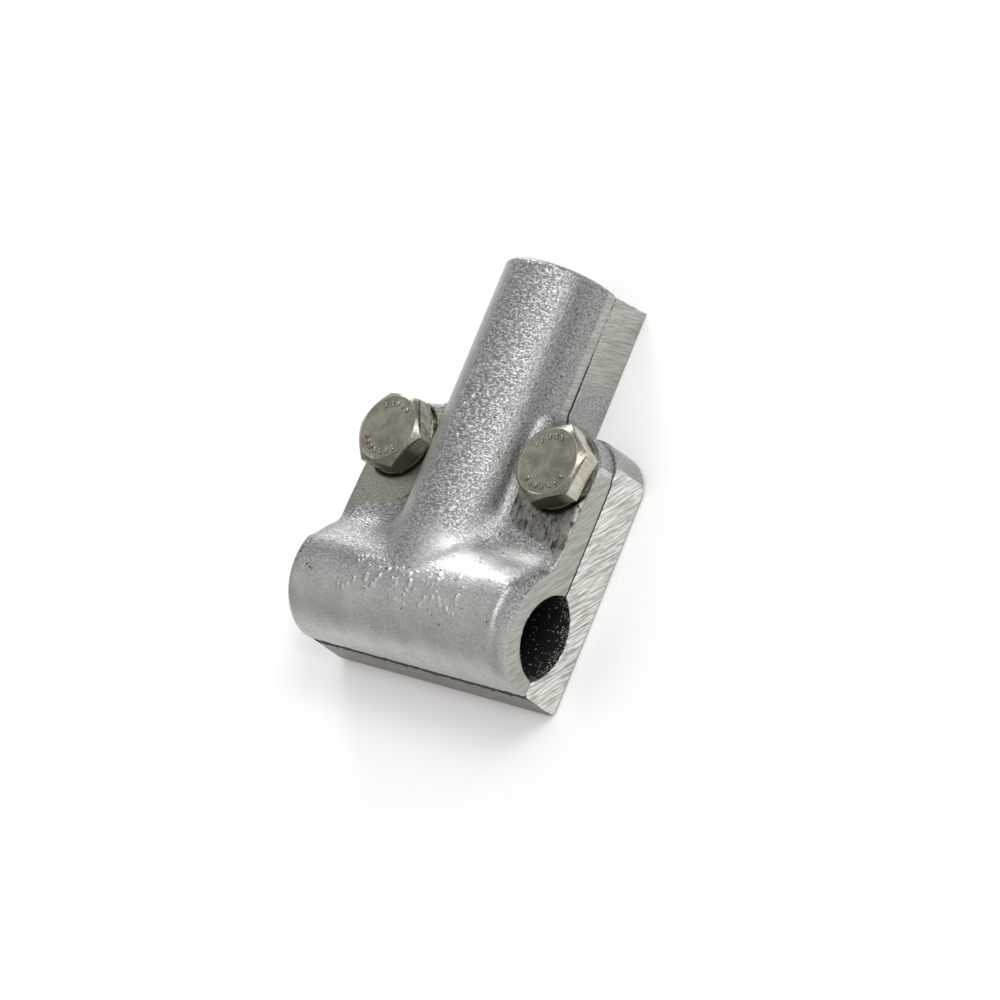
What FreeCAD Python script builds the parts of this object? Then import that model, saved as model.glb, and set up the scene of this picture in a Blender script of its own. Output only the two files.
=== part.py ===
import FreeCAD, Part
import math
import os
from FreeCAD import Vector

# Two-bolt T splice connector for overhead conductors.
# Two cast aluminium halves close on a run conductor along X and a tap conductor along Y.
# Z points towards the bolt heads. Z = 0 is the joint between the halves,
# and the origin is where the two conductor axes cross on it.

# Overall casting
run_half_length = 33.7
branch_top = 79.9
branch_half_width = 14.0

# Conductor grooves: the closed pair leaves a pointed oval
groove_half_chord = 10.0
front_groove_depth = 8.7
back_groove_depth = 5.8
stop_wall = 3.5

# Front half, under the bolt heads
run_barrel_radius = 13.9
run_barrel_height = 17.2
run_barrel_shift = 0.3
run_end_rounding = 3.2
run_end_drop = 8.8
run_end_grind = 0.2
branch_barrel_radius = 14.0
branch_barrel_height = 16.8
branch_top_chamfer = 0.9
front_ear_thickness = 6.7
front_foot_allowance = 2.5
ear_edge_rounding = 2.4
saddle_radius = 6.0
blend_radius = 4.0

# Ears, round each bolt
bolt_from_end = 8.8
bolt_half_spacing = run_half_length - bolt_from_end
bolt_line = 35.5
front_ear_radius = 8.6
back_ear_radius = 9.4
ear_rise = 1.4
ear_neck_radius = 8.0
ear_neck_overlap = 1.2
run_bottom = 13.5
front_ear_foot = 0.0
front_corner_radius = 2.0

# Back half, tapped
back_thickness = 11.3
back_foot_allowance = 0.6
back_bottom_draft = 0.9
back_top_step = 0.6
back_top_draft = 1.2
back_edge_rounding = 1.8
back_corner_radius = 2.0

# Bolts and lock washers
pad_height = 5.85
pad_radius = 9.6
bolt_radius = 5.0
bolt_length = 18.0
bolt_point = 1.0
head_across_flats = 17.0
head_height = 5.25
head_chamfer_height = 1.35
head_disc_radius = 7.9
left_head_turn = -1.3
right_head_turn = 22.2
tapped_hole_clearance = 0.06
front_hole_clearance = 0.5
washer_outer_radius = 9.05
washer_thickness = 1.4
washer_clearance = 0.12
washer_slit = 1.0
washer_slit_lean = 1.1

# How far a cutting tool reaches past what it cuts
overrun = 5.0


def at_height(outline, z):
    """Edges from a list of ("line", a, b) and ("arc", a, middle, b) steps, laid flat at height z."""
    edges = []
    for step in outline:
        points = [Vector(x, y, z) for x, y in step[1:]]
        if step[0] == "line":
            edges.append(Part.LineSegment(*points).toShape())
        else:
            edges.append(Part.Arc(*points).toShape())
    return Part.Wire(edges)


def on_circle(centre, radius, degrees):
    angle = math.radians(degrees)
    return (centre[0] + radius * math.cos(angle), centre[1] + radius * math.sin(angle))


def arc(centre, radius, start, end):
    middle = (start + end) / 2
    return ("arc",) + tuple(on_circle(centre, radius, a) for a in (start, middle, end))


def mirrored(steps):
    """The same steps on the other side of X = 0, walked the opposite way."""
    flipped = []
    for step in reversed(steps):
        points = [(-x, y) for x, y in reversed(step[1:])]
        flipped.append((step[0],) + tuple(points))
    return flipped


def ear_outline(radius, allowance, bottom, corner, branch_side):
    """Plan of both ears, from a bottom line up to necks that run into the branch's sides.

    The foot is cast wider than the finished end.
    """
    ear = (bolt_half_spacing, bolt_line + ear_rise)
    side = run_half_length + allowance
    neck = ear_neck_radius
    neck_x = branch_side - ear_neck_overlap
    ear_top = ear[1] + radius
    # The side leans in from the foot to meet the ear's circle at a tangent.
    low = (side, bottom + corner)
    reach = math.hypot(ear[0] - low[0], ear[1] - low[1])
    towards = math.degrees(math.atan2(low[1] - ear[1], low[0] - ear[0]))
    meet = towards + math.degrees(math.acos(radius / reach))
    right = [
        ("line", (0, bottom), (side - corner, bottom)),
        arc((side - corner, bottom + corner), corner, -90, 0),
        ("line", low, on_circle(ear, radius, meet)),
        arc(ear, radius, meet, 90),
        ("line", (ear[0], ear_top), (neck_x + neck, ear_top)),
        arc((neck_x + neck, ear_top + neck), neck, -90, -180),
        ("line", (neck_x, ear_top + neck), (0, ear_top + neck)),
    ]
    return right + mirrored(right)


def plate(outline, low, high):
    """Solid with this plan between two heights."""
    return Part.Face(at_height(outline, low)).extrude(Vector(0, 0, high - low))


def side_profile(corners, half_width):
    """Solid with this outline in Y and Z, drawn out equally to both sides."""
    points = [Vector(-half_width, y, z) for y, z in corners]
    return Part.Face(Part.makePolygon(points + points[:1])).extrude(Vector(2 * half_width, 0, 0))


def middle_of(edge):
    return edge.valueAt((edge.FirstParameter + edge.LastParameter) / 2)


def nearest_edges(shape, places):
    """The edge whose middle is nearest to each place."""
    edges = [(e, middle_of(e)) for e in shape.Edges]
    return [min(edges, key=lambda pair: pair[1].distanceToPoint(Vector(*p)))[0] for p in places]


def run_crown(side):
    """Crown of the run barrel at one end: its round, squeezed down along a quarter of an ellipse.

    Each pole is the product of a half circle's pole and an ellipse's pole, so both curves are exact.
    """
    slant = math.sqrt(0.5)
    half_circle = [(1, 0, 1), (1, 1, slant), (0, 1, 1), (-1, 1, slant), (-1, 0, 1)]
    end_height = 1 - run_end_drop / run_barrel_height
    quarter_ellipse = [(0, 1, 1), (1, 1, slant), (1, end_height, 1)]
    start = run_half_length + run_end_grind - run_end_rounding
    centre = run_barrel_height - run_barrel_radius
    poles = []
    weights = []
    for across, up, weight in half_circle:
        y = run_barrel_shift + run_barrel_radius * across
        z = centre + run_barrel_radius * up
        poles.append([Vector(side * (start + run_end_rounding * along), y, z * height)
                      for along, height, end_weight in quarter_ellipse])
        weights.append([weight * end_weight for along, height, end_weight in quarter_ellipse])
    crown = Part.BSplineSurface()
    crown.buildFromPolesMultsKnots(poles, [3, 2, 3], [3, 3], [0, 1, 2], [0, 1], False, False, 2, 2, weights)
    return crown.toShape()


def solid_below(face, level):
    """Solid under a face, with upright sides below its rim and a floor at this level."""
    sides = []
    floor = []
    for edge in face.OuterWire.Edges:
        a = edge.valueAt(edge.FirstParameter)
        b = edge.valueAt(edge.LastParameter)
        low_a = Vector(a.x, a.y, level)
        low_b = Vector(b.x, b.y, level)
        foot = Part.LineSegment(low_b, low_a).toShape()
        upright = [Part.LineSegment(b, low_b).toShape(), Part.LineSegment(low_a, a).toShape()]
        sides.append(Part.Face(Part.Wire([edge, upright[0], foot, upright[1]])))
        floor.append(foot)
    shell = Part.Shell([face, Part.Face(Part.Wire(Part.sortEdges(floor)[0]))] + sides)
    shell.sewShape()
    solid = Part.Solid(shell)
    if solid.Volume < 0:
        solid.reverse()
    return solid


def run_barrel():
    """The barrel over the run conductor, a D in section. Its crest falls away at both ends."""
    start = run_half_length + run_end_grind - run_end_rounding
    centre = run_barrel_height - run_barrel_radius
    low = run_barrel_shift - run_barrel_radius
    high = run_barrel_shift + run_barrel_radius
    section = Part.Wire([
        Part.Arc(
            Vector(-start, low, centre),
            Vector(-start, run_barrel_shift, run_barrel_height),
            Vector(-start, high, centre),
        ).toShape(),
        Part.LineSegment(Vector(-start, high, centre), Vector(-start, high, -overrun)).toShape(),
        Part.LineSegment(Vector(-start, high, -overrun), Vector(-start, low, -overrun)).toShape(),
        Part.LineSegment(Vector(-start, low, -overrun), Vector(-start, low, centre)).toShape(),
    ])
    middle = Part.Face(section).extrude(Vector(2 * start, 0, 0))
    ends = [solid_below(run_crown(side), -overrun) for side in (-1, 1)]
    return middle.fuse(ends).removeSplitter().Solids[0]


def branch_barrel():
    """The barrel over the tap conductor, on straight side walls."""
    centre = branch_barrel_height - branch_barrel_radius
    wide = 2 * branch_barrel_radius
    crown = Part.makeCylinder(branch_barrel_radius, branch_top, Vector(0, 0, centre), Vector(0, 1, 0))
    over = Part.makeBox(2 * wide, 2 * branch_top, wide, Vector(-wide, -overrun, centre))
    walls = Part.makeBox(wide, branch_top, centre + overrun, Vector(-branch_barrel_radius, 0, -overrun))
    barrel = crown.common(over).fuse(walls).removeSplitter().Solids[0]
    top = [e for e in barrel.Edges if middle_of(e).y > branch_top - 0.01 and middle_of(e).z > 0]
    return barrel.makeChamfer(branch_top_chamfer, top).Solids[0]


def groove_tool(half_chord, depth, length, start, direction, side):
    """Cylinder that cuts a groove of this depth and width at the joint, on side +1 or -1."""
    radius = (half_chord ** 2 + depth ** 2) / (2 * depth)
    sunk = side * (depth - radius)
    return Part.makeCylinder(radius, length, Vector(start[0], start[1], sunk), direction)


def groove_tools(depth, side):
    run = groove_tool(
        groove_half_chord, depth, 2 * (run_half_length + overrun),
        (-run_half_length - overrun, 0), Vector(1, 0, 0), side,
    )
    tap_start = groove_half_chord + stop_wall
    tap = groove_tool(
        groove_half_chord, depth, branch_top + 2 * overrun - tap_start,
        (0, tap_start), Vector(0, 1, 0), side,
    )
    return [run, tap]


def grinding_tools():
    """Slabs that stand for the grinder, which trues both run ends."""
    tall = 4 * (branch_top + back_thickness)
    slabs = []
    for side in (-1, 1):
        slab = Part.makeBox(tall, tall, tall, Vector(-tall / 2, -tall / 2, -tall / 2))
        slab.translate(Vector(side * (run_half_length + tall / 2), 0, 0))
        slabs.append(slab)
    return slabs


def bolt_places():
    return [("left", -bolt_half_spacing, left_head_turn), ("right", bolt_half_spacing, right_head_turn)]


def below_joint():
    wide = 4 * branch_top
    return Part.makeBox(wide, wide, wide, Vector(-wide / 2, -wide / 2, -wide))


def round_ears(block, height, bottom, radius):
    """Rounds the ear plate's outer edge at this height, from above the bottom line up to the branch."""
    edges = []
    for edge in block.Edges:
        place = middle_of(edge)
        under_branch = abs(place.x) < branch_half_width / 2 and place.y > bolt_line
        if abs(place.z - height) < 0.01 and place.y > bottom and not under_branch:
            edges.append(edge)
    return block.makeFillet(radius, edges).Solids[0]


def joined_barrels():
    """Both barrels, with a soft foundry blend in the saddle where they meet."""
    body = run_barrel().fuse(branch_barrel()).removeSplitter().Solids[0]
    run_side = run_barrel_shift + run_barrel_radius
    saddle = []
    for edge in body.Edges:
        place = middle_of(edge)
        beside = abs(place.x) < branch_barrel_radius + 0.5 and 0.5 < place.y < run_side + 0.5
        if beside and place.z > -overrun + 0.1:
            saddle.append(edge)
    return body.makeFillet(saddle_radius, saddle).Solids[0]


def blend_onto_ears(body):
    """Rounds the valley where the barrels rise from the ears."""
    run_side = run_barrel_shift + run_barrel_radius
    valley = []
    for edge in body.Edges:
        place = middle_of(edge)
        flat = all(abs(v.Z - front_ear_thickness) < 0.01 for v in edge.Vertexes)
        flat = flat and abs(place.z - front_ear_thickness) < 0.01
        beside = abs(place.x) < branch_barrel_radius or place.y < run_side + saddle_radius / 2
        if flat and beside and place.y > 0:
            valley.append(edge)
    return body.makeFillet(blend_radius, valley).Solids[0]


def front_half():
    """Barrels over both conductors, with an ear for each bolt, cast in one piece."""
    outline = ear_outline(
        front_ear_radius, front_foot_allowance, front_ear_foot, front_corner_radius, branch_barrel_radius,
    )
    ears = plate(outline, -overrun, front_ear_thickness)
    inside_barrel = front_ear_foot + front_corner_radius / 2
    ears = round_ears(ears, front_ear_thickness, inside_barrel, ear_edge_rounding)
    body = joined_barrels().fuse(ears).removeSplitter().Solids[0]
    body = blend_onto_ears(body)
    tools = groove_tools(front_groove_depth, 1) + grinding_tools() + [below_joint()]
    for name, x, turn in bolt_places():
        place = Vector(x, bolt_line, pad_height)
        tools.append(Part.makeCylinder(pad_radius, run_barrel_height, place))
        hole = Vector(x, bolt_line, -overrun)
        tools.append(Part.makeCylinder(bolt_radius + front_hole_clearance, 4 * overrun, hole))
    for tool in tools:
        body = body.cut(tool)
    return body.Solids[0]


def under_leaning_foot(low, thick):
    """Cuts the back half's foot to its lean, from the joint down to the flat back."""
    lean = back_bottom_draft / back_thickness * overrun
    below = low - 2 * overrun
    corners = [
        (-run_bottom + lean, overrun),
        (low - lean, thick - overrun),
        (below, thick - overrun),
        (below, overrun),
    ]
    return side_profile(corners, run_half_length + 2 * overrun)


def back_half():
    """Flat-backed casting with a tapped hole for each bolt."""
    thick = -back_thickness
    low = -run_bottom - back_bottom_draft
    top = branch_top - back_top_step
    outline = ear_outline(back_ear_radius, back_foot_allowance, low, back_corner_radius, branch_half_width)
    ears = round_ears(plate(outline, thick, 0), thick, low - overrun, back_edge_rounding)
    leaning_top = [(0, 0), (top, 0), (top + back_top_draft, thick), (0, thick)]
    branch = side_profile(leaning_top, branch_half_width)
    body = ears.fuse(branch).removeSplitter().Solids[0]
    tools = groove_tools(back_groove_depth, -1) + grinding_tools() + [under_leaning_foot(low, thick)]
    for name, x, turn in bolt_places():
        hole = Vector(x, bolt_line, thick - overrun)
        radius = bolt_radius + tapped_hole_clearance
        tools.append(Part.makeCylinder(radius, back_thickness + 2 * overrun, hole))
    for tool in tools:
        body = body.cut(tool)
    return body.Solids[0]


def bolt(x, turn):
    """Hexagon head with a chamfered crown, on a shank with a short point."""
    bearing = pad_height + washer_thickness
    corner = head_across_flats / math.sqrt(3)
    corners = [on_circle((x, bolt_line), corner, turn + 60 * i) for i in range(6)]
    outline = [("line", corners[i], corners[(i + 1) % 6]) for i in range(6)]
    head = Part.Face(at_height(outline, bearing)).extrude(Vector(0, 0, head_height))
    # The chamfer cone starts below the corners, so it leaves an arc on each flat.
    crown_foot = head_height - head_chamfer_height
    slope = (corner - head_disc_radius) / head_chamfer_height
    base = corner + slope * crown_foot
    cone = Part.makeCone(base, head_disc_radius, head_height, Vector(x, bolt_line, bearing))
    shank = Part.makeCylinder(bolt_radius, bolt_length, Vector(x, bolt_line, bearing - bolt_length))
    point = (x - bolt_radius, bolt_line, bearing - bolt_length)
    shank = shank.makeChamfer(bolt_point, nearest_edges(shank, [point]))
    return head.common(cone).fuse(shank).removeSplitter().Solids[0]


def lock_washer(x, turn):
    """Split spring washer, squeezed flat under the head. The slit leans as the coil was cut."""
    ring = Part.makeCylinder(washer_outer_radius, washer_thickness, Vector(0, 0, 0))
    ring = ring.cut(Part.makeCylinder(bolt_radius + washer_clearance, washer_thickness, Vector(0, 0, 0)))
    half = washer_slit / 2
    lean = washer_slit_lean / 2
    foot = -overrun
    head = washer_thickness + overrun
    reach = lean * (1 + 2 * overrun / washer_thickness)
    corners = [
        Vector(0, -reach - half, foot),
        Vector(0, -reach + half, foot),
        Vector(0, reach + half, head),
        Vector(0, reach - half, head),
    ]
    slit = Part.Face(Part.makePolygon(corners + corners[:1])).extrude(Vector(2 * washer_outer_radius, 0, 0))
    ring = ring.cut(slit).Solids[0]
    ring.rotate(Vector(0, 0, 0), Vector(0, 0, 1), turn)
    ring.translate(Vector(x, bolt_line, pad_height))
    return ring


parts = {"clamp_half_front": front_half(), "clamp_half_back": back_half()}
for side, x, turn in bolt_places():
    parts["bolt_" + side] = bolt(x, turn)
    parts["lock_washer_" + side] = lock_washer(x, turn + 75)

os.makedirs("parts", exist_ok=True)
for name, shape in parts.items():
    shape.exportStep("parts/" + name + ".step")
    print(name, "volume", round(shape.Volume, 1), "valid", shape.isValid(), "solids", len(shape.Solids))
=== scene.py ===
# %% [markdown]
# A T connector for overhead conductors, dressed over its CAD solids.
# The real object is two cast aluminium halves, two stainless bolts and two split lock washers.
# The castings carry most of the look: a sandy cast skin on the barrels, ground faces at the ends
# and sides, and a black joint compound in the grooves.
# Everything is in metres, and +Z points towards the bolt heads.

# %% Frame
import math
import random

import bmesh
import bpy
from mathutils import Matrix, Vector


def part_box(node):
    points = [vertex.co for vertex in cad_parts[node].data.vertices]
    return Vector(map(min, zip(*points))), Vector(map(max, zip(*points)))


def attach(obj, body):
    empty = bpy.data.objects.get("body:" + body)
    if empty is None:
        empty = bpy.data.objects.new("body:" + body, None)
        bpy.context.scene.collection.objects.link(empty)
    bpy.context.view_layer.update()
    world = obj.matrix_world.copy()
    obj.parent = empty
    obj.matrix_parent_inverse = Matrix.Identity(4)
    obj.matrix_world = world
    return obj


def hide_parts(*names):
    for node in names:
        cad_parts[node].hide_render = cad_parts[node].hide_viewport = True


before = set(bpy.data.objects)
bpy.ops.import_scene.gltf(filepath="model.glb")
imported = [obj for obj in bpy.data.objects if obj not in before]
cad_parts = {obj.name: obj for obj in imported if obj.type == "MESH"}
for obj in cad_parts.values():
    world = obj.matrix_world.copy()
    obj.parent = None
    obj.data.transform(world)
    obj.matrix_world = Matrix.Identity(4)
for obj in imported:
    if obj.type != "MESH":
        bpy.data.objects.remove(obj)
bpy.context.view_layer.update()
MM = 0.001
floor_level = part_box("clamp_half_back")[0].z
print("nodes", sorted(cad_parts))

# %% [markdown]
# The camera stands where the photographer's did, seen from the object.
# It is given by the picture's own right and up directions, so the roll comes out right without
# angles. The long lens keeps the barrels almost parallel.

# %% Camera
camera_place = Vector((0.54190, -0.11459, 0.56596))
picture_right = Vector((0.71755, 0.37462, -0.58718)).normalized()
picture_up = Vector((-0.16177, 0.90962, 0.38265)).normalized()
towards_camera = picture_right.cross(picture_up)

camera = bpy.data.objects.new("camera", bpy.data.cameras.new("camera"))
bpy.context.scene.collection.objects.link(camera)
axes = Matrix((picture_right, picture_up, towards_camera)).transposed().to_4x4()
camera.matrix_world = Matrix.Translation(camera_place) @ axes
camera.data.sensor_width = 36
camera.data.lens = 128.25
bpy.context.scene.camera = camera
bpy.context.scene.view_settings.view_transform = "Standard"
print("camera", camera_place.length, "m from the origin")

# %% [markdown]
# A metal object shows its surroundings more than its own colour, so the studio is built as
# reflections. A large lamp overhead gives the short soft shadow, a small one towards the top of
# the picture puts the highlights on the casting's blends, and one beside the camera makes the
# grain sparkle.

# %% Lamps
aim = Vector((0, 0.03, 0))
lamp_distance = 0.9


def softbox(name, direction, size, energy):
    """A square lamp in a direction from the object, turned to face it."""
    lamp = bpy.data.objects.new(name, bpy.data.lights.new(name, "AREA"))
    lamp.data.size = size
    lamp.data.energy = energy
    lamp.location = aim + direction.normalized() * lamp_distance
    lamp.rotation_euler = direction.to_track_quat("Z", "Y").to_euler()
    bpy.context.scene.collection.objects.link(lamp)
    print(name, energy, "W")


softbox("overhead_softbox", Vector((0.48, 0.46, 0.8)), 0.32, 2.3)
softbox("highlight_softbox", Vector((-0.56, 0.80, 0.22)), 0.28, 2.8)
softbox("sparkle_softbox", towards_camera + 0.25 * picture_up, 0.10, 0.9)

# %% [markdown]
# Materials are easier to read as sums than as wires between boxes.
# A Wire is one output of a shader node, and arithmetic on it adds the Math nodes. The reflected
# forms let a plain number stand first, as in 1 - mask.
# A Wiring is a node tree, and its node method adds every other kind of node: the settings go
# first, because some of them change which sockets there are, and then the values of its inputs.

# %% Wires


class Wire:
    """One output of a shader node. Arithmetic on it adds Math nodes."""

    def __init__(self, wiring, socket):
        self.wiring = wiring
        self.socket = socket

    def maths(self, operation, first, second, clamp=False):
        settings = {"operation": operation, "use_clamp": clamp}
        return self.wiring.node("ShaderNodeMath", settings, {0: first, 1: second})

    def __add__(self, other):
        return self.maths("ADD", self, other)

    def __sub__(self, other):
        return self.maths("SUBTRACT", self, other)

    def __rsub__(self, other):
        return self.maths("SUBTRACT", other, self)

    def __mul__(self, other):
        return self.maths("MULTIPLY", self, other)

    def __pow__(self, power):
        return self.maths("POWER", self, power)

    def __abs__(self):
        return self.maths("ABSOLUTE", self, 0.0)

    def clamped(self):
        return self.maths("ADD", self, 0.0, clamp=True)

    __radd__ = __add__
    __rmul__ = __mul__


class Wiring:
    """A node tree, with a method that adds a node and returns one of its outputs as a wire."""

    def __init__(self, tree):
        self.tree = tree

    def node(self, kind, settings, values, output=0):
        new = self.tree.nodes.new(kind)
        for key, value in settings.items():
            setattr(new, key, value)
        for key, value in values.items():
            self.put(new.inputs[key], value)
        return Wire(self, new.outputs[output])

    def put(self, socket, value):
        if isinstance(value, Wire):
            self.tree.links.new(value.socket, socket)
        else:
            socket.default_value = value

    def step(self, value, low, high, bottom=0.0, top=1.0):
        """Bottom below low and top above high, with a soft step between."""
        settings = {"interpolation_type": "SMOOTHSTEP", "clamp": True}
        values = {"Value": value, "From Min": low, "From Max": high,
                  "To Min": bottom, "To Max": top}
        return self.node("ShaderNodeMapRange", settings, values)


# %% [markdown]
# The sky is pale all round and dimmer near the floor, as in a photographer's white tent.
# Its strength follows the height of the direction in which a ray leaves the scene.

# %% Sky
horizon_strength = 0.42
top_strength = 0.86
top_height = 0.8

world = bpy.data.worlds.new("studio")
world.use_nodes = True
bpy.context.scene.world = world
sky = Wiring(world.node_tree)
backdrop = world.node_tree.nodes["Background"]
direction = sky.node("ShaderNodeTexCoord", {}, {}, 0)
height = sky.node("ShaderNodeSeparateXYZ", {}, {0: direction}, 2)
sky.put(backdrop.inputs["Color"], (1.0, 1.0, 0.995, 1))
sky.put(backdrop.inputs["Strength"],
        sky.step(height, 0.0, top_height, horizon_strength, top_strength))
print("sky from", horizon_strength, "to", top_strength)

# %% [markdown]
# A Finish is one material. Besides the node method it has the few patterns that a metal surface
# is made of: noise, round spots, bands and relief, all of them given in millimetres.
# They read Object coordinates, so a pattern is as large on the small washers as on the castings.

# %% Finishes


class Finish(Wiring):
    """One material, with the patterns that metal surfaces are made of."""

    def __init__(self, name):
        self.material = bpy.data.materials.new(name)
        self.material.use_nodes = True
        super().__init__(self.material.node_tree)
        self.spot = self.node("ShaderNodeTexCoord", {}, {}, 3)

    def surface(self, values):
        for key, value in values.items():
            self.put(self.tree.nodes["Principled BSDF"].inputs[key], value)
        self.tell("its surface")

    def tell(self, step):
        print(self.material.name, "has", len(self.tree.nodes), "nodes with", step)

    def millimetres(self):
        """Object coordinates as three wires, in millimetres."""
        axes = [self.node("ShaderNodeSeparateXYZ", {}, {0: self.spot}, i) for i in range(3)]
        return [axis * 1000 for axis in axes]

    def stretched(self, stretch, turn=(0, 0, 0)):
        """Object coordinates for a pattern that is turned, and drawn out along its own axes."""
        values = {"Vector": self.spot, "Rotation": turn, "Scale": stretch}
        return self.node("ShaderNodeMapping", {"vector_type": "TEXTURE"}, values)

    def noise(self, grain, detail=2.0, roughness=0.5, place=None):
        """Noise whose lumps are about one grain wide."""
        values = {"Vector": place or self.spot, "Scale": 1000 / grain,
                  "Detail": detail, "Roughness": roughness}
        return self.node("ShaderNodeTexNoise", {}, values)

    def spots(self, spacing, radius, softness=0.5):
        """Round spots, about one to each cell of this spacing."""
        values = {"Vector": self.spot, "Scale": 1000 / spacing}
        distance = self.node("ShaderNodeTexVoronoi", {}, values)
        return 1 - self.step(distance, (1 - softness) * radius / spacing, radius / spacing)

    def band(self, value, low, high, soft):
        """1 between low and high, and 0 further than soft outside them."""
        return self.step(value, low - soft, low) * (1 - self.step(value, high, high + soft))

    def mix(self, share, one, other):
        """A colour between two others, each of them a wire or (red, green, blue)."""
        one, other = (c if isinstance(c, Wire) else (*c, 1) for c in (one, other))
        return self.node("ShaderNodeMix", {"data_type": "RGBA"}, {0: share, 6: one, 7: other}, 2)

    def bump(self, height, distance, under=None):
        """Relief from a height wire, which counts one unit as this many millimetres."""
        values = {"Height": height, "Strength": 1.0, "Distance": distance * MM}
        if under is not None:
            values["Normal"] = under
        return self.node("ShaderNodeBump", {}, values)


# %% [markdown]
# The floor is one large pale square under the part, matt so that it takes a soft shadow.
# It rides on no body and is no piece of the part.

# %% Floor
floor_paint = Finish("floor_paint")
floor_paint.surface({"Base Color": (0.96, 0.96, 0.96, 1), "Roughness": 0.9})

bm = bmesh.new()
bmesh.ops.create_grid(bm, x_segments=1, y_segments=1, size=3)
bmesh.ops.translate(bm, vec=(0, 0, floor_level), verts=bm.verts)
floor_mesh = bpy.data.meshes.new("floor")
bm.to_mesh(floor_mesh)
bm.free()
floor = bpy.data.objects.new("floor", floor_mesh)
bpy.context.scene.collection.objects.link(floor)
floor.data.materials.append(floor_paint.material)
print("floor at", floor_level, "m")

# %% [markdown]
# The casting's skin changes from place to place, so the material needs to know where it is.
# Masks could be painted by hand on a UV map. Here they are sums on the object's own coordinates,
# because the casting's sizes are known, and a mask made from them stays sharp from close by.
# These are those sizes, in millimetres.

# %% Sizes of the casting
run_half_length = round(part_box("clamp_half_front")[1].x / MM, 2)
rim_half_length = 33.3
branch_half_width = 14.0
branch_end = 79.9
foot_line = -13.5
barrel_crest = 14
groove_half_chord = 10.0
front_groove_depth = 8.7
back_groove_depth = 5.8
tap_groove_start = 13.5
bolt_x = 24.9
bolt_y = 35.5
pad_height = 5.85
pad_radius = 9.6
print("run", 2 * run_half_length, "mm long, branch up to", branch_end, "mm")

# %% [markdown]
# The grinder trued both run ends, and the sides of the branch from about half its length up.
# Its belt left the front half's sides as cast above a few millimetres, with a wavy border, which
# comes from a ragged noise that is added to the height before the step.

# %% Ground faces
belt_height = 2.6
belt_start = 48

skin = Finish("cast_aluminium")
x, y, z = skin.millimetres()
ragged = skin.noise(1.1) - 0.5
behind = 1 - skin.step(z, -0.05, 0.05)

end = skin.step(abs(x), run_half_length - 0.25, run_half_length - 0.12)
flank = skin.step(abs(x), branch_half_width - 0.3, branch_half_width - 0.14)
flank = flank * (1 - skin.step(z + ragged, belt_height, belt_height + 0.7))
flank = flank * skin.step(y + 9 * ragged - 6 * behind + 0.4 * z, belt_start, belt_start + 6)
ground = (end + flank).clamped()
skin.tell("the ground faces")

# %% [markdown]
# Each groove is part of a cylinder, whose radius follows from the groove's chord and depth.
# Nothing else of the casting lies inside that cylinder, so the distance from its axis is enough
# for a mask. The tap groove starts behind the wall that stops the tap conductor.

# %% Grooves


def inside_groove(across, depth, side):
    """1 on the wall of a groove. Side is 1 for the front half and -1 for the back half."""
    radius = (groove_half_chord ** 2 + depth ** 2) / (2 * depth)
    centre = side * (depth - radius)
    distance = (across * across + (z - centre) * (z - centre)) ** 0.5
    return (1 - skin.step(distance, radius + 0.12, radius + 0.2)) * skin.step(side * z, -0.1, 0.0)


def both_grooves(depth, side):
    past_wall = skin.step(y, tap_groove_start - 0.3, tap_groove_start - 0.2)
    return inside_groove(y, depth, side) + inside_groove(x, depth, side) * past_wall


groove = both_grooves(front_groove_depth, 1) + both_grooves(back_groove_depth, -1)
groove = groove.clamped() * (1 - end)
cast = (1 - ground) * (1 - groove)
skin.tell("the grooves")

# %% [markdown]
# The bolts bear on two flat pads, and the back half has a flat foot along its lower side.
# The branch and the ears have skins of their own: the branch is darker in a band on its right,
# with finer grain and painted shade, darker and less metallic along its left edge, as painted
# shade, and the tops of the ears are darker, with painted shade and streaks.

# %% Pads, foot, branch and ears


def distance_to_bolt(x, y):
    """How far a place is from the axis of the bolt on its side."""
    return ((abs(x) - bolt_x) ** 2.0 + (y - bolt_y) ** 2.0) ** 0.5


pad = 1 - skin.step(distance_to_bolt(x, y), pad_radius - 0.3, pad_radius - 0.1)
pad = pad * (1 - skin.step(abs(z - pad_height), 0.15, 0.3))
foot = (1 - skin.step(y, foot_line - 0.1, foot_line + 0.2)) * behind

beside_branch = skin.step(abs(x), branch_half_width + 0.2, branch_half_width + 1)
on_branch = skin.step(y + 0.3 * abs(x), 15, 20) * (1 - beside_branch)
on_ear = beside_branch * skin.step(y, 15, 18)
right_band = on_branch * skin.step(x + 2 * ragged, 8.5, 12.5) * (1 - behind)
# The left edge of the branch is painted darker and less metallic, as painted shade.
left_edge = on_branch * (1 - skin.step(x, -13.8, -11.5)) * (1 - behind)
flat_ear = on_ear * skin.band(z, 5.6, 6.85, 0.15) * (1 - skin.step(y, 37, 39)) * (1 - end)
skin.tell("pads, foot, branch and ears")

# %% [markdown]
# The sand of the mould shows coarse and bright on top of the barrels, and fine and dull low on
# their sides. One mask says how coarse the skin is: it is worked out for the run and for the
# branch, and the ears and the back half get one value each.

# %% Coarseness
ear_coarseness = 0.85
back_coarseness = 0.55


def blend(share, one, other):
    """A number between two others, as mix does for colours."""
    return one * (1 - share) + other * share


run_coarse = 0.8 * skin.step(y + 4 * ragged, -6.0, 7.0) * (1 - 0.5 * skin.band(x, 5, 30, 6))
run_ends = 0.3 * skin.step(abs(x), 28.5, 31) * skin.step(y, -9, -3)
run_coarse = (run_coarse + run_ends).clamped()
branch_coarse = skin.step(x + 3 * ragged, -9, -1) * (1 - 0.5 * skin.step(x + 3 * ragged, 8, 12.5))

coarse = blend(on_branch, run_coarse, branch_coarse)
coarse = blend(on_ear, coarse, ear_coarseness)
coarse = blend(behind, coarse, back_coarseness)
skin.tell("its coarseness")
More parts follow.
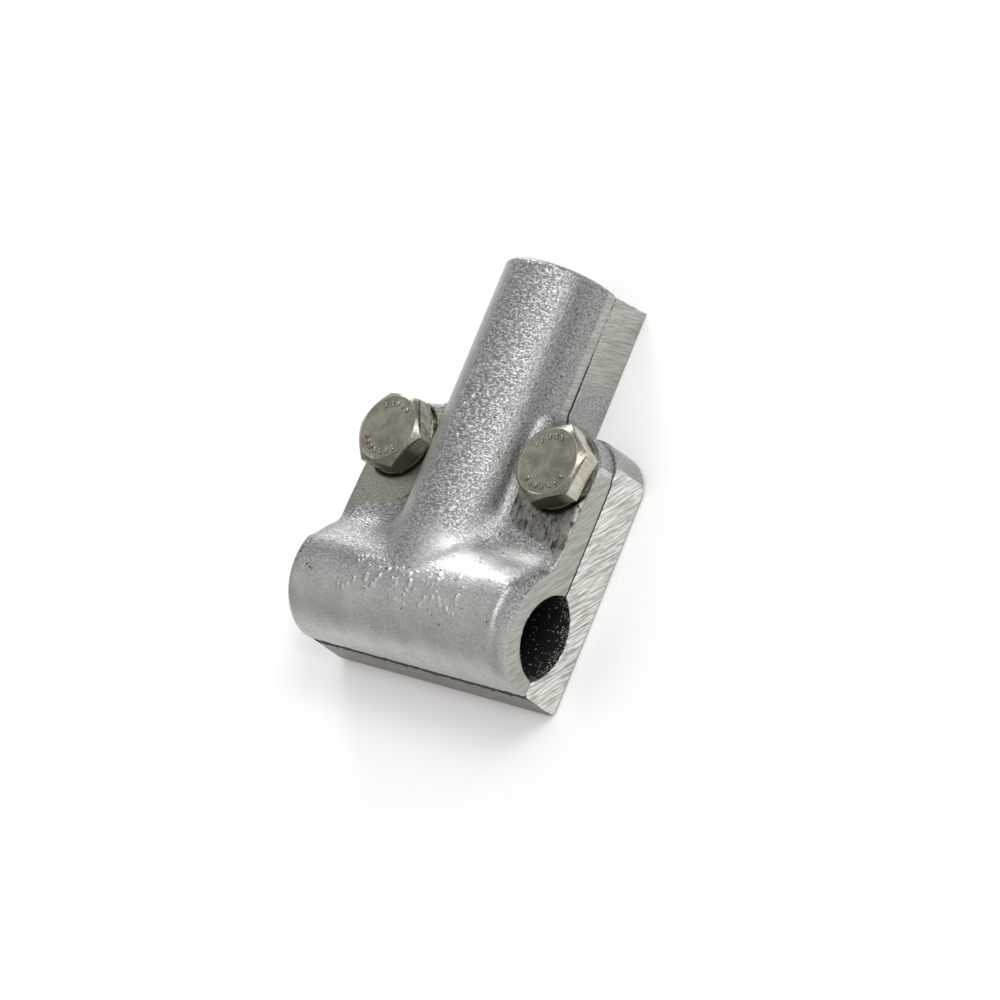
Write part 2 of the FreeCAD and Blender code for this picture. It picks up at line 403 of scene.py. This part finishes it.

# %% [markdown]
# Dirt and compound sit in the joint between the halves. It shows only as a line round the rim: a
# thin one at the ends and along the branch, and a wide wandering one along the foot, which is
# painted shadow of the gap there.
# Beside the grooves the compound is smeared over the mating faces, which show when the clamp
# opens. The line runs on the height above the joint, which a noise makes wander.

# %% Dirt and painted gap shadow in the joint
smear_width = 1

foot_side = 1 - skin.step(y, foot_line + 0.05, foot_line + 0.2)
past_bolts = skin.step(y, bolt_y + 1, bolt_y + 2)
mouth = skin.step(y, branch_end - 0.6, branch_end - 0.4)

wander = (1 + 7 * foot_side) * (0.45 * (skin.noise(1.6, 3.0) - 0.5))
# Along the foot the line is over a millimetre wide: painted shadow of the gap between the halves.
half_width = 0.13 + 1.1 * foot_side - 0.17 * skin.step(y, 56, 68)
joint = 1 - skin.step(abs(z + 0.6 * foot_side + wander) - half_width, 0.0, 0.1)
off_branch = skin.step(abs(x), branch_half_width + 0.3, branch_half_width + 1)
joint = joint * (1 - off_branch * past_bolts)
joint = joint * (1 - end * (1 - skin.step(y, -2, 0)))

rim = skin.step(abs(x), rim_half_length, rim_half_length + 0.1)
rim = rim + skin.step(abs(x), branch_half_width - 0.5, branch_half_width - 0.4) * past_bolts
rim = rim + foot_side + mouth
joint = joint * rim.clamped()

smear_start = groove_half_chord + smear_width
by_run = 1 - skin.step(abs(y) + 3 * ragged, smear_start, smear_start + 1)
by_tap = 1 - skin.step(abs(x) + 3 * ragged, smear_start, smear_start + 1)
smear = (by_run + by_tap * skin.step(y, 12, 13)).clamped()
smear = smear * (1 - skin.step(abs(z), 0.06, 0.1)) * (1 - end) * (1 - mouth)
joint = (joint + smear).clamped()
skin.tell("dirt in the joint")

# %% [markdown]
# The sand of the mould is a noise with much fine detail, a little drawn out along X.
# A finer dust of another noise lies over it, and both together say where the peaks are, which
# the coarse skin's colour paints bright as painted glints, with painted shade between them.
# Small pits lie here and there, and a row of them makes a scar near the left end of the run.
# Low casting lumps stand in one patch on each barrel, where the skin isn't so even.

# %% Sand, pits and lumps
sand = skin.noise(0.48, 4.0, 0.66, skin.stretched((2.0, 0.9, 1.0), (0, 0, 0.1)))
dust = skin.noise(0.42, 3.0, 0.7)
patches = skin.noise(6.0, 3.0)
peaks = skin.step(0.6 * sand + 0.4 * dust, 0.44, 0.60)

on_crest = skin.step(z, barrel_crest, barrel_crest + 1)
from_scar = abs(y + 0.65 * (x + 27.6) - 0.1)
scar = skin.band(x, -31, -25, 0.8) * (1 - skin.step(from_scar, 0.9, 1.5)) * on_crest
pits = skin.spots(2.6, 0.33) * skin.step(skin.noise(5.0, 1.0), 0.5, 0.56)
pits = (pits + skin.spots(1.1, 0.40) * scar).clamped()

run_patch = skin.band(x, -15, 20, 2.5) * skin.band(y, -3.0, 4.0, 2.0) * on_crest
branch_patch = skin.band(y, 37, 53, 2.5) * skin.band(x, -3.0, 3.5, 1.5) * on_crest
lumps = skin.spots(1.7, 1.1, 1.0) * skin.step(skin.noise(2.0, 1.0), 0.42, 0.58)
lumps = lumps * (run_patch + branch_patch).clamped()
skin.tell("sand, pits and lumps")

# %% [markdown]
# A grinding belt leaves strokes: a noise that is drawn out many times along the way the belt ran,
# and turned about X to lie as it does on the real faces.

# %% Belt strokes


def belt_strokes(width, length, turn, detail, roughness):
    """Strokes of a width in millimetres, this many times as long, turned from Z towards Y."""
    return skin.noise(width, detail, roughness, skin.stretched((1, 1, length), (turn, 0, 0)))


fine_strokes = belt_strokes(0.28, 16, 0.83, 3.0, 0.75)
wide_strokes = belt_strokes(0.6, 14, 0.80, 2.0, 0.6)
side_strokes = belt_strokes(0.24, 20, 0.295, 2.0, 0.6)
strokes = (0.65 * fine_strokes + 0.35 * wide_strokes) * end + side_strokes * (1 - end)
stroke_light = skin.step(strokes, 0.38, 0.61)
skin.tell("belt strokes")

# %% [markdown]
# The colours of the cast skin are laid over one another like coats of paint, each where its mask
# says. The fine and the coarse skin come first. The right band of the branch with painted shade,
# the lumps with a painted highlight, painted shade on the left shoulder and a painted highlight on
# the right one, painted shade on the left edge, the specks of the back half and a thin painted
# highlight along the edge at the run ends follow.

# %% Colours of the cast skin


def coated(colour, coats):
    """A colour with coats laid over it, each given as its name, its share and its own colour."""
    for name, share, coat in coats:
        colour = skin.mix(share, colour, coat)
        print("coat:", name)
    return colour


fine_share = skin.step(0.3 * patches + 0.7 * dust, 0.36, 0.62)
fine_skin = skin.mix(fine_share, (0.36, 0.365, 0.335), (0.53, 0.53, 0.50))
# The coarse skin is pale on the sand's peaks and dark between them: its own grain, with painted
# glints and painted shade.
coarse_skin_with_glints = skin.mix(peaks, (0.165, 0.17, 0.175), (0.54, 0.545, 0.55))
# The band on the right of the branch is painted darker: its own finer grain, with painted shade.
shaded_band_skin = skin.mix(skin.step(dust, 0.42, 0.58), (0.14, 0.145, 0.14), (0.35, 0.355, 0.345))

# The shoulders between run and branch: painted shade on the left one, a painted highlight on the
# right.
shoulders = skin.band(y, 4, 12, 3) * skin.step(z, 7, 9)
back_specks = skin.step(dust, 0.56, 0.62) * behind
# A thin painted highlight along the upper part of the front half's edge at the run ends.
painted_edge_highlight = skin.band(abs(x), run_half_length - 0.40, run_half_length - 0.28, 0.1) * (1 - behind)
cast_skin = coated(fine_skin, [
    ("coarse skin", coarse, coarse_skin_with_glints),
    ("right band", 0.8 * right_band, shaded_band_skin),
    # The lumps are painted pale, as a painted highlight on their raised tops.
    ("lumps", 0.5 * lumps, (0.80, 0.80, 0.80)),
    ("left shoulder", 0.45 * shoulders * skin.step(-1 * x, 6, 12), (0.20, 0.205, 0.20)),
    ("right shoulder", 0.28 * shoulders * skin.band(x, 6, 20, 5), (0.80, 0.82, 0.82)),
    ("left edge", 0.7 * left_edge, (0.20, 0.205, 0.185)),
    ("back specks", 0.7 * back_specks, (0.11, 0.11, 0.10)),
    ("painted edge highlight", 0.5 * painted_edge_highlight * skin.step(y, 12, 16), (0.80, 0.81, 0.80)),
])

# %% [markdown]
# The ears lie lower than the barrels, and their tops are painted darker, as painted shade from the
# barrels and bolt heads round them. The left one is an even dull olive, and the right one is darker
# still, with darker streaks drawn out along the branch and a few nearly black marks, which are a
# painted dark reflection of its bolt head.

# %% Colours of the ears
left_share = skin.step(0.7 * dust + 0.3 * sand, 0.40, 0.60)
left_ear = skin.mix(left_share, (0.22, 0.215, 0.185), (0.37, 0.37, 0.335))
dark_streaks = skin.step(skin.noise(1.5, 3.0, 0.6, skin.stretched((1, 2.2, 1))), 0.30, 0.66)
right_ear = skin.mix(0.75 * dark_streaks + 0.25 * peaks, (0.09, 0.085, 0.075), (0.32, 0.31, 0.28))
# Nearly black marks on the right ear: a painted dark reflection of its bolt head.
dark_reflection_marks = skin.noise(0.9, 2.0, 0.5, skin.stretched((1, 2.6, 1), (0, 0, 0.25)))
dark_reflection_marks = skin.step(dark_reflection_marks, 0.58, 0.64)
right_ear = skin.mix(0.8 * dark_reflection_marks, right_ear, (0.03, 0.024, 0.022))
shaded_ear_skin = skin.mix(skin.step(x, -1, 1), left_ear, right_ear)
skin.tell("the colours of the ears")

# %% [markdown]
# Ground aluminium is pale where a stroke is fresh and grey where it isn't. The back half's ends
# are the freshest. The pads are painted dark round the washers, as painted shade under the heads,
# with blotches. The foot is painted dark brown, as painted shade, with strokes along X and rust
# along its lowest edge.

# %% Colours of the ground faces, pads and foot
back_end = skin.mix(stroke_light, (0.33, 0.325, 0.285), (0.90, 0.89, 0.86))
front_end = skin.mix(stroke_light, (0.30, 0.30, 0.27), (0.47, 0.465, 0.43))
flank_skin = skin.mix(stroke_light, (0.31, 0.315, 0.28), (0.47, 0.475, 0.44))
ground_skin = skin.mix(end, flank_skin, skin.mix(behind, front_end, back_end))

# The pads are painted dark round the washers, as painted shade under the bolt heads, with blotches.
pad_blotches = skin.step(skin.noise(2.6, 3.0, 0.6), 0.42, 0.60)
shaded_pad_skin = skin.mix(pad_blotches, (0.16, 0.155, 0.14), (0.34, 0.335, 0.31))

foot_strokes = skin.step(skin.noise(0.35, 2.0, 0.6, skin.stretched((18, 1, 1))), 0.36, 0.62)
# The foot is painted dark brown, as painted shade; its strokes and its rust are its own.
shaded_foot_skin = skin.mix(foot_strokes, (0.05, 0.044, 0.028), (0.21, 0.195, 0.15))
rust = skin.step(-1 * z + 3 * patches, 9.8, 11.8)
shaded_foot_skin = skin.mix(0.8 * rust, shaded_foot_skin, (0.14, 0.055, 0.03))
skin.tell("the colours of the ground faces, pads and foot")

# %% [markdown]
# Joint compound is black grease with metal grit, which cuts through the oxide on a conductor.
# The grit is thin deep in the grooves, and its specks are painted pale and not metallic, as painted
# glints. Near the ends of the back half it lies bare, where the grease has chipped off.

# %% Joint compound
chipped = skin.step(abs(x) + 3 * skin.noise(0.9), 31.5, 35.5) * behind
# Grit specks: real grit, painted pale as painted glints.
grit_and_glints = skin.spots(0.48, 0.20) * skin.step(skin.noise(0.8) + 0.45 * chipped, 0.57, 0.68)
compound = skin.mix(grit_and_glints, (0.004, 0.004, 0.005), (0.80, 0.80, 0.74))
skin.tell("joint compound")

# %% [markdown]
# Now every skin goes to its own place. The roughness follows the same masks, and grease and dirt
# aren't metallic. The relief is a stack of bumps, one over another, and only the cast skin away
# from the pads gets the sand.

# %% Casting finish
joint_dirt_and_gap_shadow = joint * (1 - groove)
colour = coated(cast_skin, [
    ("ears", flat_ear, shaded_ear_skin),
    ("ground faces", ground, ground_skin),
    ("pads", pad, shaded_pad_skin),
    ("foot", foot * (1 - end), shaded_foot_skin),
    # Pits are painted nearly black, as painted shade inside them.
    ("pits", 0.85 * pits * cast, (0.06, 0.06, 0.06)),
    ("joint", joint_dirt_and_gap_shadow, (0.018, 0.014, 0.018)),
    ("compound", groove, compound),
])

cast_roughness = 0.40 - 0.16 * coarse * (1 - flat_ear)
ground_roughness = 0.34 + 0.10 * strokes
compound_roughness = 0.7 - 0.45 * grit_and_glints
pad_roughness = 0.22
roughness = blend(pad, cast_roughness * cast + ground_roughness * ground, pad_roughness)
roughness = roughness + compound_roughness * groove + 0.5 * joint * (1 - groove)

metallic = ((1 - groove) + groove * grit_and_glints * chipped) * (1 - joint_dirt_and_gap_shadow)
metallic = metallic * (1 - 0.75 * foot * (1 - end)) * (1 - 0.5 * left_edge)

sandy = cast * (1 - pad)
relief = None
for name, height, depth in (
    ("sand", sand * sandy * (0.16 + 0.84 * coarse) * (1 - 0.6 * flat_ear), 0.21),
    ("dust", dust * sandy, 0.05),
    ("lumps", lumps * sandy, 0.30),
    ("strokes", strokes * ground, 0.05),
    ("pits and joint", -1 * pits * cast - joint, 0.12),
):
    relief = skin.bump(height, depth, relief)
    print("relief:", name, depth, "mm")

skin.surface({"Base Color": colour, "Roughness": roughness, "Metallic": metallic, "Normal": relief})
cast_aluminium = skin.material

# %% [markdown]
# A hexagon head stands on its washer. Its top is a flat disc with a chamfer round it, which runs
# down to the corners of the hexagon. Both the steel's colours and the head's shape need these
# sizes, so they come first.

# %% Sizes of the bolts
washer_thickness = 1.4
bearing = pad_height + washer_thickness
head_height = 5.25
head_top = bearing + head_height
half_flats = 8.45
corner_radius = half_flats / math.cos(math.radians(30))
disc_radius = 7.9
chamfer_height = 1.35
left_head_turn = -1.3
right_head_turn = 22.2
print("bolt head from", bearing, "to", head_top, "mm,", 2 * half_flats, "mm across flats")

# %% [markdown]
# Stainless steel is a little brown and much smoother than the casting.
# The disc of each head is duller than its flats, which were rolled, and the chamfer is darker and
# browner still, as painted shade. The flats turned to the foot are painted darker, as painted
# shade, and one flat of the left head is pale, as a painted highlight.
# Both kinds of steel come from one function, with their own colours and lines. The washers are
# painted much darker than the bolts, as painted shade under the heads.

# %% Stainless finish


def head_masks(steel, x, y, z):
    """1 on the disc of a head, on its chamfer and on its flats, and on the flats that get painted
    shade and on the one that gets a painted highlight.
    """
    from_bolt = distance_to_bolt(x, y)
    disc = steel.step(z, head_top - 0.4, head_top - 0.3)
    disc = disc * (1 - steel.step(from_bolt, disc_radius - 0.2, disc_radius - 0.1))
    chamfer = steel.step(z, head_top - 1.4, head_top - 1.2)
    chamfer = chamfer * steel.step(from_bolt, disc_radius - 0.1, disc_radius + 0.05)
    slope = head_top + half_flats
    chamfer = chamfer * (1 - steel.step(from_bolt + z, slope, slope + 0.15))
    flats = (1 - disc) * (1 - chamfer) * steel.step(z, bearing - 0.05, bearing + 0.05)

    left = 1 - steel.step(x, -1, 1)
    # Flats turned to the foot get painted shade, and one flat of the left head a painted highlight.
    below = bolt_y - y + left * (0.5 * (x + bolt_x) - 0.134 * (bolt_y - y))
    dark = steel.step(below, 6.1, 7.4)
    along_pale = 0.877 * (x + bolt_x) + 0.48 * (y - bolt_y)
    pale = left * steel.step(along_pale, 8.1, 8.3)
    return disc, chamfer, flats, dark, pale


def stainless_finish(name, shade, light, roughness, stretch):
    steel = Finish(name)
    disc, chamfer, flats, dark, pale = head_masks(steel, *steel.millimetres())
    lines = steel.noise(0.35, 2.0, 0.6, steel.stretched(stretch))
    blotches = steel.noise(3.5, 3.0, 0.6)
    share = steel.step(0.55 * blotches + 0.45 * lines, 0.38, 0.62)

    flat_colour = steel.mix(share, shade, steel.mix(pale, light, (0.88, 0.86, 0.74)))
    flat_colour = steel.mix(dark, flat_colour, (0.14, 0.128, 0.10))
    disc_colour = steel.mix(share, (0.19, 0.175, 0.135), (0.33, 0.31, 0.255))
    shaded_chamfer_colour = steel.mix(share, (0.15, 0.138, 0.11), (0.26, 0.245, 0.205))
    colour = steel.mix(disc, flat_colour, disc_colour)
    steel.surface({
        "Base Color": steel.mix(chamfer, colour, shaded_chamfer_colour),
        "Metallic": 1.0,
        "Roughness": roughness + 0.12 * lines + 0.22 * flats,
        "Normal": steel.bump(lines, 0.016, steel.bump(blotches, 0.08)),
    })
    return steel.material


bolt_steel = stainless_finish(
    "bolt_steel", (0.42, 0.395, 0.32), (0.62, 0.59, 0.50), 0.20, (1, 1, 6))
# The washers are painted much darker than the bolts, as painted shade under the heads.
shaded_washer_steel = stainless_finish(
    "shaded_washer_steel", (0.05, 0.047, 0.04), (0.20, 0.19, 0.165), 0.3, (1, 6, 1))

# %% [markdown]
# A casting has no sharp edges, and its solid's triangles are uneven.
# A voxel remesh gives even small faces and rounds each edge a little, as sand and grinding do.
# The loose triangles of the solid are merged first, because the remesh needs a closed skin.

# %% Castings
sharp_edge = math.radians(9)


def new_piece(name, bm, material, body):
    """A finished piece from a bmesh, riding on its body."""
    mesh = bpy.data.meshes.new(name)
    bm.to_mesh(mesh)
    bm.free()
    mesh.set_sharp_from_angle(angle=sharp_edge)
    piece = bpy.data.objects.new(name, mesh)
    bpy.context.scene.collection.objects.link(piece)
    mesh.materials.append(material)
    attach(piece, body)
    return piece


def apply_modifiers(piece):
    """Bakes the piece's modifiers into its mesh."""
    seen = piece.evaluated_get(bpy.context.evaluated_depsgraph_get())
    baked = bpy.data.meshes.new_from_object(seen)
    piece.modifiers.clear()
    piece.data = baked


def even_skin(node, name, body, voxel):
    """A casting remeshed from its solid."""
    bm = bmesh.new()
    bm.from_mesh(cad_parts[node].data)
    bmesh.ops.remove_doubles(bm, verts=bm.verts, dist=0.001 * MM)
    for face in bm.faces:
        face.material_index = 0
    piece = new_piece(name, bm, cast_aluminium, body)
    remesh = piece.modifiers.new("even", "REMESH")
    remesh.mode = "VOXEL"
    remesh.voxel_size = voxel
    remesh.use_smooth_shade = True
    apply_modifiers(piece)
    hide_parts(node)
    print(name, len(piece.data.polygons), "faces")
    return piece


front_casting = even_skin("clamp_half_front", "front_casting", "front", 0.43 * MM)
back_casting = even_skin("clamp_half_back", "back_casting", "back", 0.41 * MM)

# %% [markdown]
# Between the barrels and the ears the real casting is fuller than a fillet of one radius.
# A Smooth modifier that works only in a painted zone fills that valley, as a pattern maker does
# with a strip of wax. The zone fades out at its borders, so the wax leaves no step.

# %% Fuller valleys
wax_from_branch = (9, 13)
wax_to_run_end = (31.5, 33.4)
wax_from_run = (6, 10)
wax_to_bolts = (19, 24)
wax_from_ear = (5.5, 6.5)


def rise(value, low, high):
    """0 below low and 1 above high, as the material's soft step."""
    share = min(max((value - low) / (high - low), 0), 1)
    return share * share * (3 - 2 * share)


def fill_valleys(piece, passes):
    zone = piece.vertex_groups.new(name="valley")
    for vert in piece.data.vertices:
        across, along, up = (c / MM for c in vert.co)
        weight = rise(abs(across), *wax_from_branch) * (1 - rise(abs(across), *wax_to_run_end))
        weight = weight * rise(along, *wax_from_run) * (1 - rise(along, *wax_to_bolts))
        weight = weight * rise(up, *wax_from_ear)
        if weight > 0:
            zone.add([vert.index], weight, "REPLACE")
    smooth = piece.modifiers.new("wax", "SMOOTH")
    smooth.factor = 1.0
    smooth.iterations = passes
    smooth.vertex_group = "valley"
    apply_modifiers(piece)
    piece.vertex_groups.clear()
    print(piece.name, "valleys filled in", passes, "passes")


fill_valleys(front_casting, 420)

# %% [markdown]
# The small steel parts are made as in a workshop, with one helper for each machine: spun is the
# lathe, slice_off is the saw, and soften takes the edge off. They are made at the origin, where
# their axis is simple, and then put in place.

# %% Turning and slicing


def spun(points, steps, turns=1.0, lift=0.0):
    """A bmesh of a profile of (radius, height) points, spun round Z. Lift is for each turn."""
    bm = bmesh.new()
    verts = [bm.verts.new((radius * MM, 0, height * MM)) for radius, height in points]
    edges = [bm.edges.new(pair) for pair in zip(verts, verts[1:])]
    bmesh.ops.spin(
        bm, geom=verts + edges, cent=(0, 0, 0), axis=(0, 0, 1), dvec=(0, 0, lift * MM / steps),
        angle=math.tau * turns, steps=int(steps * turns), use_merge=(lift == 0 and turns == 1.0),
    )
    bmesh.ops.remove_doubles(bm, verts=bm.verts, dist=0.0005 * MM)
    return bm


def slice_off(bm, place, outwards):
    """Cuts away what lies beyond a plane and closes the cut."""
    geom = bm.verts[:] + bm.edges[:] + bm.faces[:]
    cut = bmesh.ops.bisect_plane(
        bm, geom=geom, plane_co=place, plane_no=outwards, clear_outer=True)
    rim_edges = [part for part in cut["geom_cut"] if isinstance(part, bmesh.types.BMEdge)]
    bmesh.ops.holes_fill(bm, edges=rim_edges, sides=0)


def soften(bm, offset, sharper_than):
    """Bevels each edge that is sharper than an angle in degrees, and smooths the rest."""
    bmesh.ops.recalc_face_normals(bm, faces=bm.faces)
    sharp = [edge for edge in bm.edges
             if edge.is_manifold and math.degrees(edge.calc_face_angle()) > sharper_than]
    bmesh.ops.bevel(
        bm, geom=sharp, offset=offset * MM, offset_type="OFFSET", affect="EDGES", segments=2,
        profile=0.5, material=-1, clamp_overlap=True,
    )
    for face in bm.faces:
        face.smooth = True


def put_in_place(bm, x, turn):
    """Turns a bmesh about Z, in degrees, and moves it from the origin to a bolt's axis."""
    turned = Matrix.Rotation(math.radians(turn), 3, "Z")
    bmesh.ops.rotate(bm, verts=bm.verts, cent=(0, 0, 0), matrix=turned)
    bmesh.ops.translate(bm, verts=bm.verts, vec=(x * MM, bolt_y * MM, 0))


# %% [markdown]
# A hexagon bolt head is turned before it is a hexagon: a lathe cuts the flat disc and the chamfer,
# and the six flats slice through both, which leaves the curved edge on each flat.
# The same order works here: spin the turned profile, then slice six times with bisect_plane.
# The disc lies a little deeper than the thin lip round it.

# %% Bolt heads
lip_inside = 7.7
recess_radius = 7.45
recess_at_lip = 0.14
recess_at_middle = 0.10


def bolt_head():
    profile = [
        (0, bearing), (corner_radius, bearing), (corner_radius, head_top - chamfer_height),
        (disc_radius, head_top), (lip_inside, head_top),
        (recess_radius, head_top - recess_at_lip), (0, head_top - recess_at_middle),
    ]
    bm = spun(profile, 96)
    for flat in range(6):
        angle = math.radians(60 * flat + 30)
        outwards = Vector((math.cos(angle), math.sin(angle), 0))
        slice_off(bm, outwards * half_flats * MM, outwards)
    soften(bm, 0.14, 20)
    return bm


# %% [markdown]
# The thread hardly shows while the clamp is shut, but it does from behind and when the clamp opens.
# One tooth of the profile is spun with a rise of one pitch a turn, so each turn ends where the next
# begins. Both ends are then sliced square, and the tip is drawn in to a short cone.

# %% Threads
pitch = 1.5
bolt_length = 18.0
root_radius = 4.08
crest_radius = 4.95
tip_radius = 4.0
reach_into_head = 0.3


def bolt_thread():
    tip = bearing - bolt_length
    turns = math.ceil((bolt_length + 1) / pitch) + 1
    tooth = [(root_radius, 0), (crest_radius, 0.62), (crest_radius, 0.82), (root_radius, pitch)]
    bm = spun([(radius, tip - pitch + height) for radius, height in tooth], 36, turns, pitch)
    bmesh.ops.recalc_face_normals(bm, faces=bm.faces)
    slice_off(bm, Vector((0, 0, bearing + reach_into_head)) * MM, Vector((0, 0, 1)))
    slice_off(bm, Vector((0, 0, tip)) * MM, Vector((0, 0, -1)))
    for vert in bm.verts:
        radius = vert.co.xy.length
        most = (tip_radius + (vert.co.z / MM - tip)) * MM
        if radius > most:
            vert.co.xy *= most / radius
    bmesh.ops.recalc_face_normals(bm, faces=bm.faces)
    for face in bm.faces:
        face.smooth = False
    return bm


# %% [markdown]
# Two arcs of small raised dots lie on the disc of each head, and catch the light.
# Each is a flattened ball, sunk into the disc so that it needs no joining, and a seeded random
# number moves and turns it a little, so that the arcs don't look drawn with compasses.

# %% Plain dots on the heads
arcs = ((90, 5), (-100, 7))
arc_radius = 5.9
dot_spacing = 17
dot_radius = 0.72
dot_depth = 0.06


def add_dots(bm, seed):
    rng = random.Random(seed)
    height = head_top * MM - dot_depth * MM
    for middle, count in arcs:
        for i in range(count):
            angle = middle + dot_spacing * (i - (count - 1) / 2) + rng.uniform(-2, 2)
            angle = math.radians(angle)
            x, y = math.cos(angle) * arc_radius * MM, math.sin(angle) * arc_radius * MM
            turned = Matrix.Rotation(angle + rng.uniform(-0.5, 0.5), 3, "Z")
            dot = bmesh.ops.create_uvsphere(
                bm, u_segments=12, v_segments=8, radius=dot_radius * MM)["verts"]
            bmesh.ops.scale(bm, verts=dot, vec=(1, 0.6, 0.42))
            bmesh.ops.rotate(bm, verts=dot, cent=(0, 0, 0), matrix=turned)
            bmesh.ops.translate(bm, verts=dot, vec=(x, y, height))


# %% [markdown]
# A split lock washer is a turn of square wire, cut on a slant and squeezed flat under the head.
# Its section is spun for a little less than a full turn, and both ends are closed. The section's
# corners start at different angles, which gives the slit its slant.

# %% Lock washers
washer_inner = 5.12
washer_outer = 9.05
slit = 1.0
slit_lean = 1.1


def lock_washer():
    bm = bmesh.new()
    corners = []
    for radius, height, side in (
        (washer_inner, pad_height, -1), (washer_outer, pad_height, -1),
        (washer_outer, bearing, 1), (washer_inner, bearing, 1),
    ):
        angle = (slit + side * slit_lean) / 2 / radius
        corner = (radius * math.cos(angle) * MM, radius * math.sin(angle) * MM, height * MM)
        corners.append(bm.verts.new(corner))
    section = bm.faces.new(corners)
    sweep = math.tau - slit / ((washer_inner + washer_outer) / 2)
    bmesh.ops.spin(
        bm, geom=[section], cent=(0, 0, 0), axis=(0, 0, 1), dvec=(0, 0, 0), angle=sweep,
        steps=70, use_merge=False,
    )
    bmesh.ops.remove_doubles(bm, verts=bm.verts, dist=0.0005 * MM)
    soften(bm, 0.16, 30)
    return bm


# %% [markdown]
# Both bolts are the same part, turned differently as the spanner left them. The head and the
# thread ride on the bolt's body, because both turn when the clamp opens. The washer rides on the
# front half, and its slit lies the same way from each head.

# %% Bolts and washers in place
slit_turn = 75

for side, x, body, head_turn, seed in (
    ("left", -bolt_x, "left_bolt", left_head_turn, 3),
    ("right", bolt_x, "right_bolt", right_head_turn, 8),
):
    head = bolt_head()
    add_dots(head, seed)
    put_in_place(head, x, head_turn)
    head_piece = new_piece("bolt_head_" + side, head, bolt_steel, body)
    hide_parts("bolt_" + side)
    thread = bolt_thread()
    put_in_place(thread, x, 0)
    thread_piece = new_piece("bolt_thread_" + side, thread, bolt_steel, body)
    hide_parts("bolt_" + side)
    washer = lock_washer()
    put_in_place(washer, x, head_turn + slit_turn)
    washer_piece = new_piece(
        "split_washer_" + side, washer, shaded_washer_steel, "front")
    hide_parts("lock_washer_" + side)
    print(side, [len(p.data.polygons) for p in (head_piece, thread_piece, washer_piece)], "faces")
